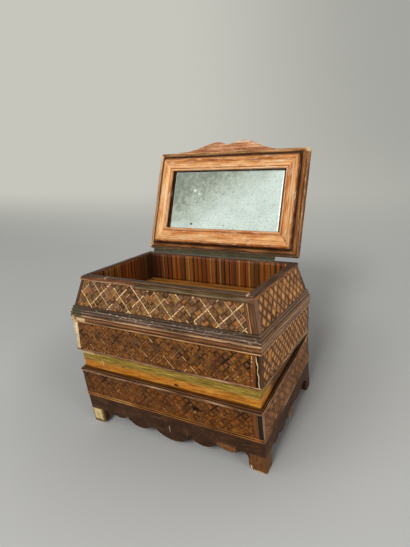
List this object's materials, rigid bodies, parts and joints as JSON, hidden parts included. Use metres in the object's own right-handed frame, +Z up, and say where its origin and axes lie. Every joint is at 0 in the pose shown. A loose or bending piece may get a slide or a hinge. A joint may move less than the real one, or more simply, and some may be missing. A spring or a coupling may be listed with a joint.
{
  "type": "straw marquetry jewellery casket",
  "caption": "Straw marquetry jewellery casket on a scalloped base, with a canted case hinged behind and an open lid that holds a framed mirror.",
  "frame": {"origin": "under the centre of the casket's bounding box as it stands with its case raised and its lid open, on the table its feet stand on", "axes": "+X to the right seen from the front, -Y towards the front, +Z up"},
  "size_m": [0.2, 0.2004, 0.2555],
  "materials": {
    "bare_wood": "unfinished, darkened by age",
    "straw_lattice": "split straw in a diamond lattice, satin",
    "straw_bead": "pale straw wrapped over a bead, worn",
    "straw_aubergine": "dark stained straw, satin",
    "straw_ochre": "lengthwise ochre straw, satin",
    "hinge_brass": "tarnished",
    "straw_moulding": "brown straw wrapped over reeds, glossy on the crowns",
    "straw_gold": "golden straw, satin",
    "straw_stripes": "upright stripes of dyed straw, satin",
    "cloth_olive": "plain woven cloth, faded",
    "mirror_plate": "silvered glass, foxed"
  },
  "bodies": {
    "base": {"base_floor": "bare_wood", "base_wall_front": "straw_lattice", "base_wall_back": "straw_lattice", "base_wall_left": "straw_lattice", "base_wall_right": "straw_lattice", "base_top_bead": "straw_bead", "base_stringing": "straw_bead", "apron_front": "straw_aubergine", "apron_back": "straw_aubergine", "apron_left": "straw_aubergine", "apron_right": "straw_aubergine", "foot_block_front_left": "bare_wood", "foot_block_front_right": "bare_wood", "foot_block_back_left": "bare_wood", "foot_block_back_right": "bare_wood", "lip_front": "straw_ochre", "lip_back": "straw_ochre", "lip_left": "straw_ochre", "lip_right": "straw_ochre", "case_hinge_base_leaves": "hinge_brass", "case_hinge_pins": "hinge_brass"},
    "case": {"case_hinge_case_leaves": "hinge_brass", "case_wall_front": "straw_lattice", "case_wall_back": "straw_lattice", "case_wall_left": "straw_lattice", "case_wall_right": "straw_lattice", "case_bottom_bead": "straw_bead", "cant_wall_front": "straw_lattice", "cant_wall_back": "straw_lattice", "cant_wall_left": "straw_lattice", "cant_wall_right": "straw_lattice", "waist_moulding_front": "straw_moulding", "waist_moulding_back": "straw_moulding", "waist_moulding_left": "straw_moulding", "waist_moulding_right": "straw_moulding", "well_floor": "straw_gold", "well_lining_front": "straw_stripes", "well_lining_back": "straw_stripes", "well_lining_left": "straw_stripes", "well_lining_right": "straw_stripes", "rim_edging": "straw_moulding", "lid_hinge_case_leaves": "hinge_brass", "lid_hinge_pins": "hinge_brass", "lid_hinge_strip": "cloth_olive"},
    "lid": {"lid_hinge_lid_leaves": "hinge_brass", "lid_board": "straw_lattice", "lid_edging_front": "straw_moulding", "lid_edging_back": "straw_moulding", "lid_edging_left": "straw_moulding", "lid_edging_right": "straw_moulding", "lid_crest": "straw_gold", "mirror_rail_top": "straw_gold", "mirror_rail_bottom": "straw_gold", "mirror_rail_left": "straw_gold", "mirror_rail_right": "straw_gold", "mirror_glass": "mirror_plate"}
  },
  "joints": [
    {"name": "case_hinge", "type": "hinge", "parent": "base", "child": "case", "pos_m": [0, 0.03444, 0.0675], "axis": [-1, 0, 0], "range_deg": [-9, 66]},
    {"name": "lid_hinge", "type": "hinge", "parent": "case", "child": "lid", "pos_m": [0, 0.03656, 0.14543], "axis": [-1, 0, 0], "range_deg": [-110, 0], "deforming": ["lid_hinge_strip"]}
  ]
}
